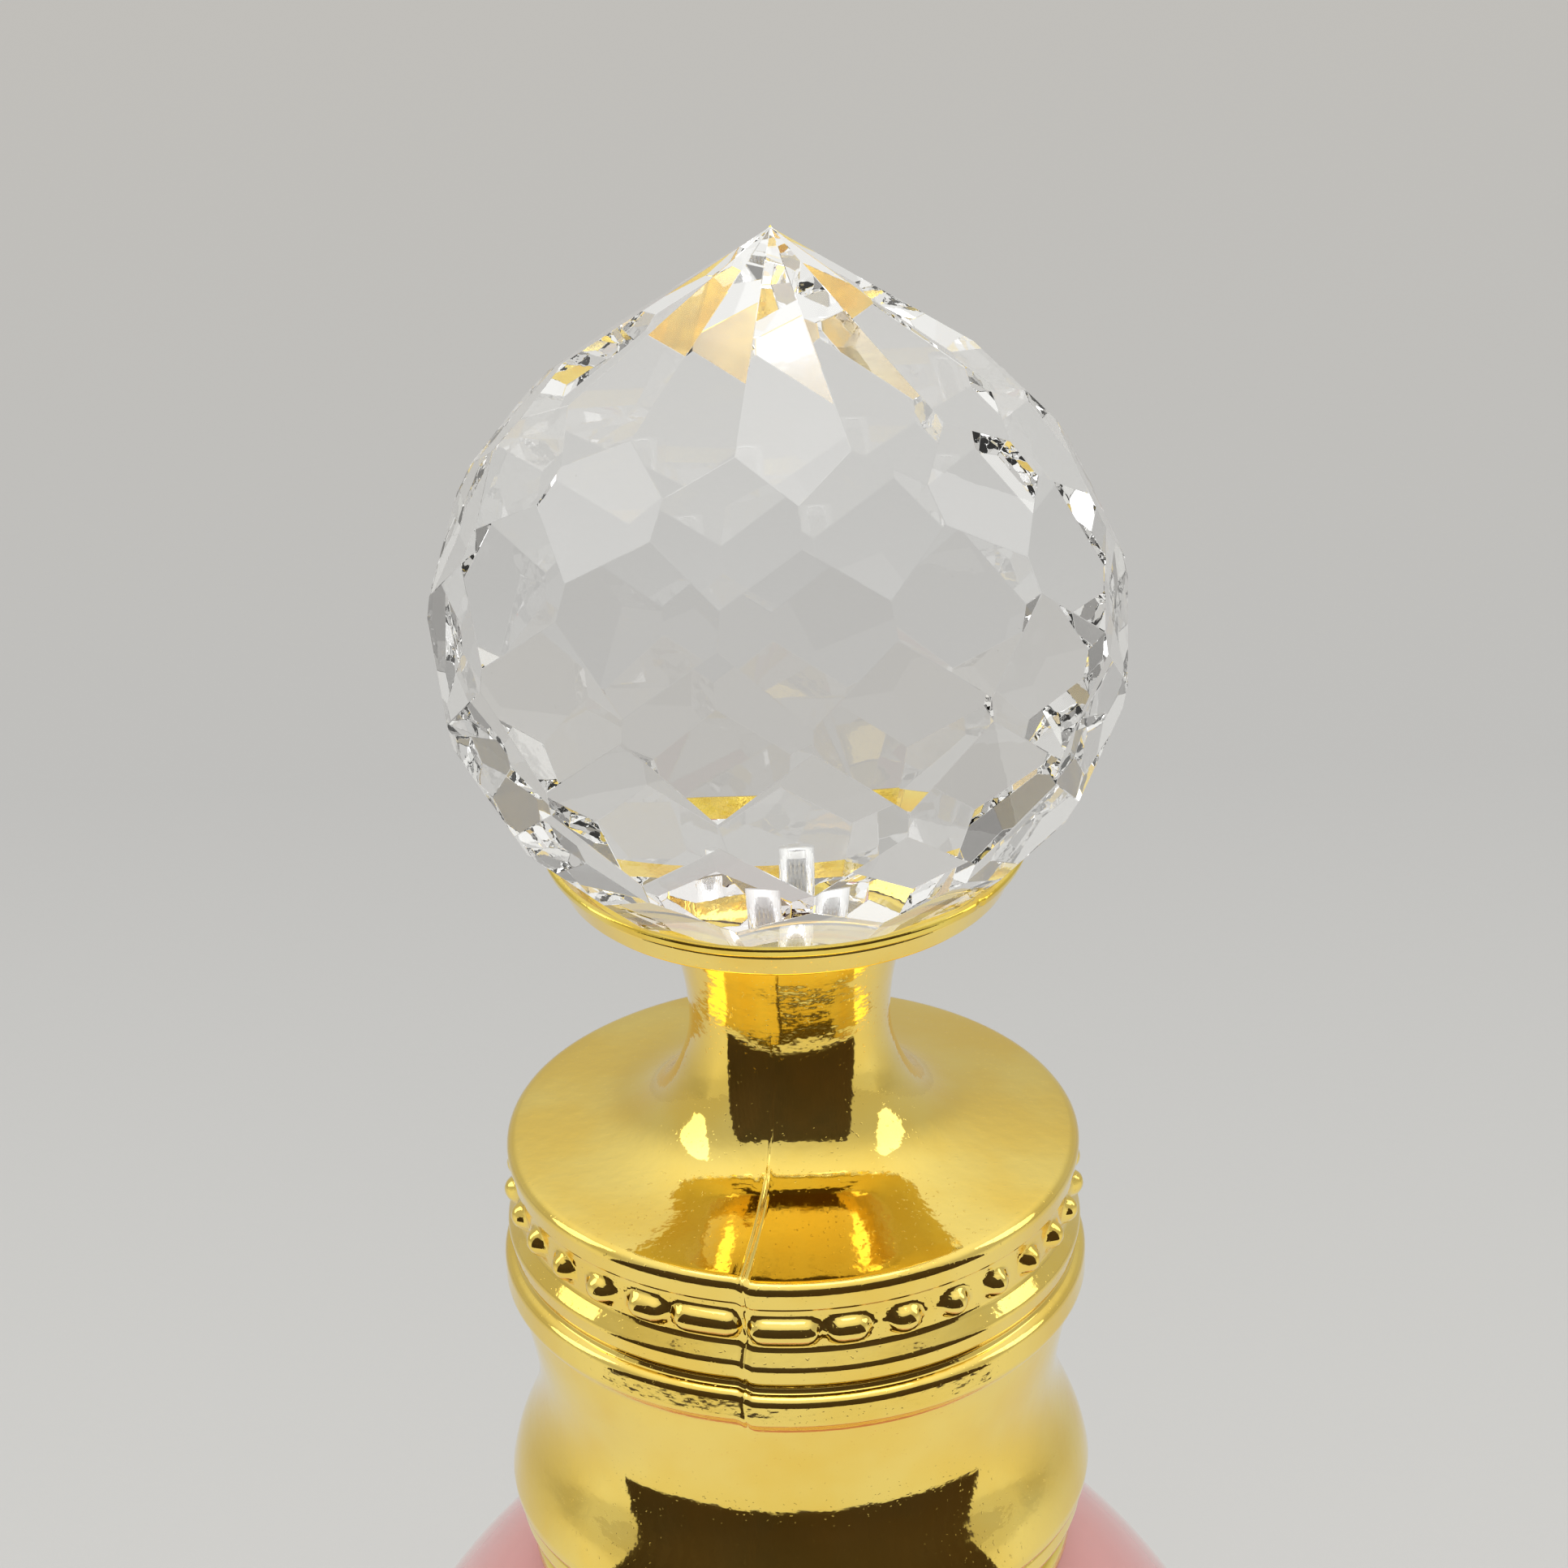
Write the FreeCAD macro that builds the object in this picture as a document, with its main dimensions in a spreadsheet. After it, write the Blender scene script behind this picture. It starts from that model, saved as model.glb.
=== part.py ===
# Perfume bottle: a round glass flacon with a crimped spray pump, and a pull-off
# gilt cap that carries a faceted crystal ball.  Millimetres, +Z up, origin at the
# centre of the flat ring that the bottle stands on.
import FreeCAD, Part
import math
import os
import Sketcher
from FreeCAD import Vector

doc = FreeCAD.newDocument("perfume_bottle")
z_axis = Vector(0, 0, 1)

# --- Driving dimensions ------------------------------------------------------
# Heights ending in _z are above the surface the bottle stands on.  Heights of the
# cap's outline are below cup_z, the lower edge of the cup under the crystal.
dimensions = {
    # glass
    "foot_radius": 17.5, "belly_radius": 25.0, "belly_z": 27.0, "shoulder_radius": 12.6,
    "land_z": 56.0, "neck_root_radius": 6.6, "finish_radius": 7.45, "neck_bore": 4.7,
    "neck_top_z": 64.5, "glass_wall": 3.0, "floor_thickness": 5.0, "dome_inside_rise": 28.5,
    "inside_floor_radius": 14.5, "push_up_radius": 12.0, "push_up_depth": 2.0,
    "heel_rounding": 1.2, "neck_groove_z": 60.2, "finish_base_z": 60.7, "finish_bevel": 0.4,
    # gilt collar, crimped ferrule and gasket
    "collar_radius": 12.9, "collar_base_z": 56.1, "collar_height": 2.1, "collar_bead": 0.9,
    "upstand_radius": 8.5, "upstand_bore": 7.95, "upstand_z": 66.5,
    "ferrule_radius": 7.9, "ferrule_wall": 0.35, "ferrule_top_z": 66.75, "ferrule_hole": 3.25,
    "crimp_bore": 6.9, "crimp_z": 59.4, "crimp_height": 0.9, "gasket_thickness": 0.8,
    # pump
    "flange_thickness": 1.0, "barrel_radius": 4.6, "barrel_bore": 3.5, "barrel_foot_z": 51.0,
    "barrel_base_z": 47.0, "cage_bore": 1.5, "seat_z": 47.8, "inlet_bore": 0.9,
    "tail_radius": 2.3, "tail_bore": 1.25, "tail_base_z": 41.5, "tube_stop_z": 46.2,
    "guide_boss_radius": 3.1, "guide_boss_z": 67.3, "guide_base_z": 63.4,
    "stem_radius": 1.6, "stem_bore": 0.7, "stem_base_z": 59.3, "stem_top_z": 74.35,
    "stem_foot_radius": 2.9, "stem_foot_height": 1.0, "piston_height": 3.0, "piston_waist": 0.5,
    "running_gap": 0.05, "spring_radius": 2.5, "spring_wire": 0.6, "spring_turns": 5.0,
    "ball_radius": 1.2,
    # dip tube
    "tube_radius": 1.2, "tube_bore": 0.75, "tube_reach": 11.0, "tube_end_z": 7.0,
    # spray head
    "button_radius": 5.4, "button_base_z": 71.3, "button_top_z": 76.0, "button_bore": 4.4,
    "hub_radius": 2.7, "hub_base_z": 72.0, "web_z": 74.4, "sheath_wall": 0.35,
    "nozzle_z": 73.7, "nozzle_radius": 1.5, "nozzle_length": 2.4, "orifice_radius": 0.2,
    "orifice_wall": 0.6, "orifice_flare": 0.5, "flare_depth": 0.3, "nozzle_set_back": 0.05,
    "finger_dish": 0.6,
    # cap
    "cap_rim_z": 58.4, "cup_z": 92.4, "shell_bore": 11.0, "shell_roof_drop": 15.1,
    "core_radius": 3.0, "core_drop": 9.0, "cup_radius": 10.0, "cup_lip_radius": 10.46,
    "cup_height": 1.2, "recess_radius": 9.9, "recess_z": 0.5, "waist_radius": 4.58,
    "waist_drop": 7.3, "edge_radius": 13.26, "edge_drop": 13.9, "cove_radius": 12.2,
    "cove_drop": 26.2, "bulge_radius": 13.77, "bulge_drop": 31.6, "bead_count": 32,
    "bead_ring_radius": 13.0, "bead_radius": 0.7, "bead_drop": 16.2, "seam_angle": 10.4,
    # friction sleeve inside the cap
    "sleeve_radius": 10.95, "sleeve_wall": 0.8, "sleeve_base_z": 58.8, "sleeve_web_z": 66.8,
    "sleeve_top_z": 74.6, "sleeve_rib_count": 8, "sleeve_rib_width": 0.8,
    # crystal, its dish and its pin
    "dish_lip_radius": 10.9, "dish_lip_z": 1.78, "dish_rim": 0.15, "dish_floor_z": 1.0,
    "dish_floor_radius": 9.75, "pin_radius": 0.72,
    "pin_hole_radius": 0.77, "pin_base_drop": 6.0, "pin_top_rise": 4.6, "hole_top_rise": 5.0,
    "crystal_radius": 15.02, "crystal_centre_rise": 12.29, "crystal_sides": 12,
    "crown_apex": 1.19, "tip_rise": 17.96, "tip_lean": 31.0, "tip_sides": 6,
    "tip_height": 1.3,
}

sheet = doc.addObject("Spreadsheet::Sheet", "Dimensions")
for row, (alias, number) in enumerate(dimensions.items(), start=1):
    sheet.set(f"A{row}", alias)
    sheet.set(f"B{row}", str(number))
    sheet.setAlias(f"B{row}", alias)
doc.recompute()

sub_parts = []


def size(alias):
    """The number that the sheet holds under an alias."""
    return float(sheet.get(alias))


def bound(expression):
    """The expression with each alias pointed at the sheet."""
    words = expression.split(" ")
    return " ".join(f"Dimensions.{word}" if word in dimensions else word for word in words)


def finish(thing, label):
    """Label a sub-part and keep it for the export."""
    thing.Label = label
    sub_parts.append(thing)
    return thing


def origin_plane(body, role):
    return next(plane for plane in body.Origin.OriginFeatures if plane.Role == role)


def outline_sketch(body, name, points):
    """A closed polygon on the XZ plane; each corner is (radius, height) as expressions."""
    sketch = body.newObject("Sketcher::SketchObject", name)
    sketch.AttachmentSupport = [(origin_plane(body, "XZ_Plane"), "")]
    sketch.MapMode = "FlatFace"
    count = len(points)
    turns = [2 * math.pi * i / count for i in range(count)]
    ring = [Vector(30 + 20 * math.cos(turn), 50 + 20 * math.sin(turn), 0) for turn in turns]
    for i in range(count):
        sketch.addGeometry(Part.LineSegment(ring[i], ring[(i + 1) % count]), False)
    for i in range(count):
        sketch.addConstraint(Sketcher.Constraint("Coincident", i, 2, (i + 1) % count, 1))
    for i, (radius, height) in enumerate(points):
        if radius == "0":
            sketch.addConstraint(Sketcher.Constraint("PointOnObject", i, 1, -2))
        else:
            where = sketch.addConstraint(Sketcher.Constraint("DistanceX", -1, 1, i, 1, ring[i].x))
            sketch.setExpression(f"Constraints[{where}]", bound(radius))
        where = sketch.addConstraint(Sketcher.Constraint("DistanceY", -1, 1, i, 1, ring[i].y))
        sketch.setExpression(f"Constraints[{where}]", bound(height))
    doc.recompute()
    return sketch


def turned(label, points):
    """A body of revolution about Z from one polygon."""
    body = doc.addObject("PartDesign::Body", label)
    sketch = outline_sketch(body, label + "_outline", points)
    turn = body.newObject("PartDesign::Revolution", label + "_turn")
    turn.Profile = sketch
    turn.ReferenceAxis = (sketch, ["V_Axis"])
    turn.Angle = 360
    doc.recompute()
    return finish(body, label)


def is_circle(edge, radius, height):
    """Whether an edge is the horizontal circle of this radius at this height."""
    if edge.Degenerated or not isinstance(edge.Curve, Part.Circle):
        return False
    return abs(edge.Curve.Radius - radius) < 0.01 and abs(edge.Curve.Center.z - height) < 0.01


def rounded(body, circles, radius):
    """Fillet the circular edges of a body that have the given (radius, height)."""
    names = []
    for number, edge in enumerate(body.Shape.Edges, start=1):
        if any(is_circle(edge, *circle) for circle in circles):
            names.append(f"Edge{number}")
    if len(names) != len(circles):
        raise RuntimeError(f"{body.Label}: {len(names)} of {len(circles)} edges found to round")
    base = body.Tip
    fillet = body.newObject("PartDesign::Fillet", body.Name + "_rounding")
    fillet.Base = (base, names)
    fillet.Radius = radius
    doc.recompute()


def side_pocket(body, name, radius, height):
    """A round hole from the axis out through the -Y side of a body."""
    before = body.Shape.Volume
    sketch = body.newObject("Sketcher::SketchObject", name + "_circle")
    sketch.AttachmentSupport = [(origin_plane(body, "XZ_Plane"), "")]
    sketch.MapMode = "FlatFace"
    sketch.addGeometry(Part.Circle(Vector(0, 50, 0), z_axis, 1.0), False)
    sketch.addConstraint(Sketcher.Constraint("PointOnObject", 0, 3, -2))
    lift = sketch.addConstraint(Sketcher.Constraint("DistanceY", -1, 1, 0, 3, 50.0))
    sketch.setExpression(f"Constraints[{lift}]", bound(height))
    width = sketch.addConstraint(Sketcher.Constraint("Radius", 0, 1.0))
    sketch.setExpression(f"Constraints[{width}]", bound(radius))
    doc.recompute()
    pocket = body.newObject("PartDesign::Pocket", name)
    pocket.Profile = sketch
    pocket.Type = "Length"
    pocket.Length = 2 * size("button_radius")
    pocket.Reversed = True
    doc.recompute()
    if body.Shape.Volume > before - 0.01 or max(f.CenterOfMass.y for f in body.Shape.Faces) < 0:
        raise RuntimeError(f"{name} cuts nothing")


def plain(label, shape, lift=0):
    """A sub-part whose shape is made in code from the sheet's sizes, then lifted into place."""
    feature = doc.addObject("Part::Feature", label)
    feature.Shape = shape
    feature.Placement = FreeCAD.Placement(Vector(0, 0, lift), FreeCAD.Rotation())
    return finish(feature, label)


def outline_edges(start, steps):
    """Edges in the XZ plane from steps: a corner, an arc (middle, end) or a curve through points."""
    edges = []
    here = Vector(start[0], 0, start[1])
    for kind, *places in steps:
        points = [Vector(x, 0, z) for x, z in places]
        if kind == "line":
            edges.append(Part.LineSegment(here, points[0]).toShape())
        elif kind == "arc":
            edges.append(Part.Arc(here, points[0], points[1]).toShape())
        else:
            curve = Part.BSplineCurve()
            curve.interpolate([here] + points)
            edges.append(curve.toShape())
        here = points[-1]
    return edges


def revolved(edges):
    """The solid swept by a closed outline about Z."""
    face = Part.Face(Part.Wire(Part.__sortEdges__(edges)))
    solid = face.revolve(Vector(0, 0, 0), z_axis, 360)
    return solid if solid.Volume > 0 else solid.reversed()


def quarter_ellipse(middle_z, rise, reach, start_radius):
    """The arc from start_radius out to the equator of an ellipse; a negative rise hangs below it."""
    middle = Vector(0, 0, middle_z)
    curve = Part.Ellipse(Vector(0, 0, middle_z + rise), Vector(reach, 0, middle_z), middle)
    return Part.ArcOfEllipse(curve, math.asin(start_radius / reach), math.pi / 2).toShape()


# --- Glass -------------------------------------------------------------------
def glass_bottle():
    belly = size("belly_radius")
    middle = size("belly_z")
    land = size("land_z")
    inner = belly - size("glass_wall")
    floor = size("floor_thickness")
    heel = size("heel_rounding")
    foot = size("foot_radius")
    shoulder = size("shoulder_radius")
    root = size("neck_root_radius")
    bead = size("finish_radius")
    bore = size("neck_bore")
    top = size("neck_top_z")
    inner_foot = size("inside_floor_radius")
    bevel = size("finish_bevel")
    dome_rise = (land - middle) / math.sqrt(1 - (shoulder / belly) ** 2)
    bowl_drop = middle / math.sqrt(1 - (foot / belly) ** 2)
    inner_drop = (middle - floor) / math.sqrt(1 - (inner_foot / inner) ** 2)
    inner_rise = size("dome_inside_rise")
    bore_base = middle + inner_rise * math.sqrt(1 - (bore / inner) ** 2)
    push = size("push_up_radius")
    depth = size("push_up_depth")
    edges = [
        quarter_ellipse(middle, dome_rise, belly, shoulder),
        quarter_ellipse(middle, -bowl_drop, belly, foot),
        quarter_ellipse(middle, inner_rise, inner, bore),
        quarter_ellipse(middle, -inner_drop, inner, inner_foot),
    ]
    edges += outline_edges((shoulder, land), [
        ("line", (root, land)), ("line", (root, size("neck_groove_z"))),
        ("line", (bead, size("finish_base_z"))), ("line", (bead, top - bevel)),
        ("line", (bead - bevel, top)), ("line", (bore, top)),
        ("line", (bore, bore_base))])
    edges += outline_edges((foot, 0), [
        ("line", (push, 0)), ("line", (push - depth, depth)), ("line", (0, depth)),
        ("line", (0, floor)), ("line", (inner_foot, floor))])
    solid = revolved(edges)
    return solid.makeFillet(heel, [edge for edge in solid.Edges if is_circle(edge, foot, 0)])


plain("glass_bottle", glass_bottle())

# --- Neck: collar, ferrule, gasket -------------------------------------------
collar = turned("neck_collar", [
    ("upstand_bore", "collar_base_z"), ("collar_radius", "collar_base_z"),
    ("collar_radius", "collar_base_z + collar_height"),
    ("upstand_radius", "collar_base_z + collar_height"),
    ("upstand_radius", "upstand_z"), ("upstand_bore", "upstand_z")])
collar_edges = [size("collar_base_z"), size("collar_base_z") + size("collar_height")]
rounded(collar, [(size("collar_radius"), height) for height in collar_edges], size("collar_bead"))

turned("crimp_ferrule", [
    ("crimp_bore", "crimp_z"), ("ferrule_radius", "crimp_z"), ("ferrule_radius", "ferrule_top_z"),
    ("ferrule_hole", "ferrule_top_z"), ("ferrule_hole", "ferrule_top_z - ferrule_wall"),
    ("ferrule_radius - ferrule_wall", "ferrule_top_z - ferrule_wall"),
    ("ferrule_radius - ferrule_wall", "crimp_z + crimp_height"),
    ("crimp_bore", "crimp_z + ferrule_wall")])

turned("neck_gasket", [
    ("neck_bore + running_gap", "neck_top_z"), ("finish_radius - running_gap", "neck_top_z"),
    ("finish_radius - running_gap", "neck_top_z + gasket_thickness"),
    ("neck_bore + running_gap", "neck_top_z + gasket_thickness")])

# --- Pump --------------------------------------------------------------------
flange_z = "neck_top_z + gasket_thickness"
flange_top_z = flange_z + " + flange_thickness"
turned("pump_housing", [
    ("tail_bore", "tail_base_z"), ("tail_radius", "tail_base_z"), ("tail_radius", "barrel_base_z - 1"),
    ("barrel_radius", "barrel_base_z"), ("barrel_radius", flange_z),
    ("finish_radius - running_gap", flange_z), ("finish_radius - running_gap", flange_top_z),
    ("barrel_bore", flange_top_z), ("barrel_bore", "barrel_foot_z"),
    ("cage_bore", "barrel_foot_z"), ("cage_bore", "seat_z"), ("inlet_bore", "seat_z"),
    ("inlet_bore", "tube_stop_z"), ("tail_bore", "tube_stop_z")])

turned("stem_guide", [
    ("stem_radius + running_gap", "guide_base_z"), ("barrel_bore", "guide_base_z"),
    ("barrel_bore", flange_top_z), ("guide_boss_radius", flange_top_z),
    ("guide_boss_radius", "guide_boss_z"), ("stem_radius + running_gap", "guide_boss_z")])

piston_z = "stem_base_z + stem_foot_height"
turned("pump_stem", [
    ("stem_bore", "stem_base_z"), ("stem_foot_radius", "stem_base_z"),
    ("stem_foot_radius", piston_z), ("stem_radius", piston_z),
    ("stem_radius", "stem_top_z"), ("stem_bore", "stem_top_z")])

turned("pump_piston", [
    ("stem_radius", piston_z), ("barrel_bore - running_gap", piston_z),
    ("barrel_bore - running_gap - piston_waist", piston_z + " + piston_height / 2"),
    ("barrel_bore - running_gap", piston_z + " + piston_height"),
    ("stem_radius", piston_z + " + piston_height")])


def return_spring():
    """Round wire wound between the housing's step and the stem's foot."""
    wire = size("spring_wire")
    height = size("stem_base_z") - size("barrel_foot_z") - wire - size("running_gap")
    path = Part.makeHelix(height / size("spring_turns"), height, size("spring_radius"))
    section = Part.Wire(Part.makeCircle(wire / 2, Vector(size("spring_radius"), 0, 0), Vector(0, 1, 0)))
    return Part.Wire(path.Edges).makePipeShell([section], True, True)


plain("return_spring", return_spring(), size("barrel_foot_z") + size("spring_wire") / 2)

ball = doc.addObject("Part::Sphere", "inlet_ball")
ball.setExpression("Radius", bound("ball_radius"))
seat_lift = math.sqrt(size("ball_radius") ** 2 - size("inlet_bore") ** 2) + 0.02
ball.Placement.Base = Vector(0, 0, size("seat_z") + seat_lift)
finish(ball, "inlet_ball")


def dip_tube():
    """A tube that leaves the pump straight and leans to the side of the floor in one long bow."""
    top = Vector(0, 0, size("tube_stop_z"))
    bend = Vector(0, 0, size("tail_base_z") - 1)
    end = Vector(-size("tube_reach"), 0, size("tube_end_z"))
    centre_x = -((end.x ** 2 + (end.z - bend.z) ** 2) / (2 * abs(end.x)))
    sweep = math.atan2(bend.z - end.z, end.x - centre_x)
    middle = Vector(centre_x * (1 - math.cos(sweep / 2)), 0, bend.z + centre_x * math.sin(sweep / 2))
    path = Part.Wire([Part.LineSegment(top, bend).toShape(), Part.Arc(bend, middle, end).toShape()])
    walls = []
    for radius in (size("tube_radius"), size("tube_bore")):
        section = Part.Wire(Part.makeCircle(radius, top, Vector(0, 0, -1)))
        walls.append(path.makePipeShell([section], True, True))
    return walls[0].cut(walls[1])


plain("dip_tube", dip_tube())

# --- Spray head --------------------------------------------------------------
button = turned("spray_button", [
    ("stem_radius + running_gap", "hub_base_z"), ("hub_radius", "hub_base_z"), ("hub_radius", "web_z"),
    ("button_bore", "web_z"), ("button_bore", "button_base_z"), ("button_radius", "button_base_z"),
    ("button_radius", "button_top_z"), ("0", "button_top_z - finger_dish"), ("0", "web_z"),
    ("stem_radius + running_gap", "web_z")])
side_pocket(button, "nozzle_seat", "nozzle_radius", "nozzle_z")

sheath = turned("button_sheath", [
    ("button_radius", "button_base_z"), ("button_radius + sheath_wall", "button_base_z"),
    ("button_radius + sheath_wall", "button_top_z + sheath_wall"),
    ("0", "button_top_z + sheath_wall - finger_dish"), ("0", "button_top_z - finger_dish"),
    ("button_radius", "button_top_z")])
side_pocket(sheath, "sheath_window", "nozzle_radius", "nozzle_z")


def nozzle_insert():
    """A plug with a fine orifice, facing -Y, set in the button's side."""
    reach = size("button_radius") + size("sheath_wall") - size("nozzle_set_back")
    length = size("nozzle_length")
    hole = size("orifice_radius")
    flare = size("flare_depth")
    outward = Vector(0, -1, 0)
    base = Vector(0, -(reach - length), size("nozzle_z"))
    plug = Part.makeCylinder(size("nozzle_radius"), length, base, outward)
    swirl = Part.makeCylinder(size("nozzle_radius") * 0.6, length - size("orifice_wall"), base, outward)
    orifice = Part.makeCylinder(hole, length, base, outward)
    cone_base = base + outward * (length - flare)
    cone = Part.makeCone(hole, hole + size("orifice_flare"), flare, cone_base, outward)
    return plug.cut(swirl.fuse([orifice, cone]))


plain("nozzle_insert", nozzle_insert())


# --- Cap ---------------------------------------------------------------------
def cap_shell():
    """The moulded outer cap: cup, waisted neck, shoulder, two rings, cove, bulge and rim."""
    cup = size("cup_z")
    edge = size("edge_radius")
    edge_z = cup - size("edge_drop")
    waist_z = cup - size("waist_drop")
    bead_z = cup - size("bead_drop")
    cove_z = cup - size("cove_drop")
    bulge = size("bulge_radius")
    bulge_z = cup - size("bulge_drop")
    rim_z = size("cap_rim_z")
    bore = size("shell_bore")
    roof_z = cup - size("shell_roof_drop")
    core = size("core_radius")
    recess = size("recess_radius")
    outer = outline_edges((recess, cup + size("recess_z")), [
        ("line", (size("cup_lip_radius"), cup + size("cup_height"))),
        ("arc", (size("cup_lip_radius") - 0.05, cup + 0.5), (size("cup_radius") - 0.35, cup)),
        ("line", (9.2, cup - 0.15)),
        ("curve", (7.1, cup - 0.8), (5.75, cup - 1.6), (5.1, cup - 2.8), (4.72, cup - 5.6),
         (size("waist_radius"), waist_z), (4.66, cup - 8.5), (4.98, cup - 9.7), (5.5, cup - 10.9),
         (6.3, cup - 12.0), (7.6, cup - 12.8), (9.9, cup - 13.25), (edge - 0.6, edge_z + 0.33)),
        ("arc", (edge - 0.12, edge_z + 0.1), (edge, edge_z - 0.4)),
        ("line", (edge, bead_z + 1.15)),
        ("line", (edge - 0.35, bead_z + 0.95)),
        ("line", (edge - 0.35, bead_z - 0.95)),
        ("arc", (edge + 0.1, bead_z - 1.9), (edge - 0.3, bead_z - 2.9)),
        ("arc", (edge + 0.3, bead_z - 3.9), (edge - 0.1, bead_z - 4.9)),
        ("curve", (edge - 0.55, cove_z + 3.0), (size("cove_radius"), cove_z),
         (bulge - 0.45, bulge_z + 2.2), (bulge, bulge_z)),
        ("line", (bulge - 0.45, bulge_z - 0.6)),
        ("arc", (bulge - 0.25, bulge_z - 1.4), (bulge - 0.7, rim_z)),
        ("line", (bore, rim_z)),
        ("line", (bore, roof_z - 2.5)),
        ("line", (bore - 2.0, roof_z)),
        ("line", (core + 2.0, roof_z)),
        ("line", (core, roof_z + 2.5)),
        ("line", (core, cup - size("core_drop"))),
        ("line", (0, cup - size("core_drop"))),
        ("line", (0, cup + size("recess_z"))),
        ("line", (recess, cup + size("recess_z")))])
    solid = revolved(outer)
    beads = []
    for place in range(int(size("bead_count"))):
        quarter, step = divmod(place, 8)
        # The beads are spaced a little wider beside the two mould seams.
        spread = 90 * ((step + 0.5) / 8) ** 0.884
        angle = spread if quarter % 2 == 0 else 90 - spread
        turn = math.radians(90 * quarter + angle - size("seam_angle"))
        ring = size("bead_ring_radius")
        centre = Vector(ring * math.sin(turn), -ring * math.cos(turn), bead_z)
        beads.append(Part.makeSphere(size("bead_radius"), centre))
    pin_hole = Part.makeCylinder(size("pin_radius"), cup + 5, Vector(0, 0, cup - size("pin_base_drop")))
    return solid.fuse(beads).cut(pin_hole)


plain("cap_shell", cap_shell())


def friction_sleeve():
    """An outer tube and a gripping ring, joined by a web and ribs."""
    radius = size("sleeve_radius")
    wall = size("sleeve_wall")
    base = size("sleeve_base_z")
    web = size("sleeve_web_z")
    grip = size("upstand_radius") + size("running_gap")
    tall = size("sleeve_top_z") - base
    tube = Part.makeCylinder(radius, tall, Vector(0, 0, base))
    tube = tube.cut(Part.makeCylinder(radius - wall, tall, Vector(0, 0, base)))
    ring = Part.makeCylinder(grip + wall, web - base, Vector(0, 0, base))
    disc = Part.makeCylinder(radius - wall, wall, Vector(0, 0, web))
    ribs = []
    for place in range(int(size("sleeve_rib_count"))):
        rib = Part.makeBox(radius - 0.2, size("sleeve_rib_width"), web - base - 1,
                           Vector(0, -size("sleeve_rib_width") / 2, base + 1))
        rib.rotate(Vector(0, 0, 0), z_axis, place * 360 / size("sleeve_rib_count"))
        ribs.append(rib)
    solid = tube.fuse([ring, disc] + ribs)
    return solid.cut(Part.makeCylinder(grip, tall, Vector(0, 0, base))).removeSplitter()


plain("cap_friction_sleeve", friction_sleeve())

# --- Crystal -----------------------------------------------------------------
turned("crystal_dish", [
    ("pin_radius", "cup_z + recess_z"), ("recess_radius", "cup_z + recess_z"),
    ("cup_lip_radius", "cup_z + cup_height"), ("dish_lip_radius", "cup_z + dish_lip_z"),
    ("dish_lip_radius - dish_rim", "cup_z + dish_lip_z"), ("dish_floor_radius", "cup_z + dish_floor_z"),
    ("pin_radius", "cup_z + dish_floor_z")])

pin = doc.addObject("Part::Cylinder", "crystal_pin")
pin.setExpression("Radius", bound("pin_radius"))
pin.setExpression("Height", bound("pin_base_drop + pin_top_rise"))
pin.Placement.Base = Vector(0, 0, size("cup_z") - size("pin_base_drop"))
finish(pin, "crystal_pin")

# Each row of facets: how far its planes lean back from upright, how far they lie from
# the ball's centre as a share of its radius, and whether the row is staggered.
crown_lean = 53.5
facet_rows = [
    (crown_lean, size("crown_apex") * math.sin(math.radians(crown_lean)), True),
    (41.5, 0.956, False),
    (24.9, 0.966, True),
    (8.0, 0.980, False),
    (-10.0, 0.990, True),
    (-28.0, 0.992, False),
    (-46.5, 0.972, True),
]


def cut_flat(solid, lean, turn, reach):
    """Grind one flat facet: remove what lies beyond a plane at a distance from the centre."""
    block = Part.makeBox(60, 60, 30, Vector(-30, -30, reach))
    block.rotate(Vector(0, 0, 0), Vector(1, 0, 0), 90 - lean)
    block.rotate(Vector(0, 0, 0), z_axis, turn)
    return solid.cut(block)


def crystal_ball():
    radius = size("crystal_radius")
    sides = int(size("crystal_sides"))
    step = 360 / sides
    # The flat underside lies on the dish's floor, where the ball is glued.
    underside = size("crystal_centre_rise") - size("dish_floor_z")
    blank = 1.2 * radius
    solid = Part.makeBox(2 * blank, 2 * blank, blank + underside, Vector(-blank, -blank, -underside))
    for lean, share, staggered in facet_rows:
        for side in range(sides):
            turn = -size("seam_angle") + step * side + (step / 2 if staggered else 0)
            solid = cut_flat(solid, lean, turn, radius * share)
    # The crown ends in a small point of its own, steeper than the facets that meet round it.
    top = size("tip_rise")
    lean = size("tip_lean")
    tip = Part.makeBox(4, 4, 4, Vector(-2, -2, top - size("tip_height")))
    for side in range(int(size("tip_sides"))):
        tip = cut_flat(tip, lean, side * 360 / size("tip_sides"), top * math.sin(math.radians(lean)))
    return solid.fuse(tip)


ground = doc.addObject("Part::Feature", "ground_ball")
ground.Shape = crystal_ball()
ground.Placement.Base = Vector(0, 0, size("cup_z") + size("crystal_centre_rise"))
drill = doc.addObject("Part::Cylinder", "ball_drilling")
drill.setExpression("Radius", bound("pin_hole_radius"))
drill.setExpression("Height", bound("hole_top_rise"))
drill.Placement.Base = Vector(0, 0, size("cup_z"))
crystal = doc.addObject("Part::Cut", "crystal_ball")
crystal.Base = ground
crystal.Tool = drill
finish(crystal, "crystal_ball")

# --- Check and write ---------------------------------------------------------
doc.recompute()
for thing in doc.Objects:
    if "Invalid" in thing.State or "Error" in thing.State:
        raise RuntimeError(f"{thing.Name} failed: {thing.State}")

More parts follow.
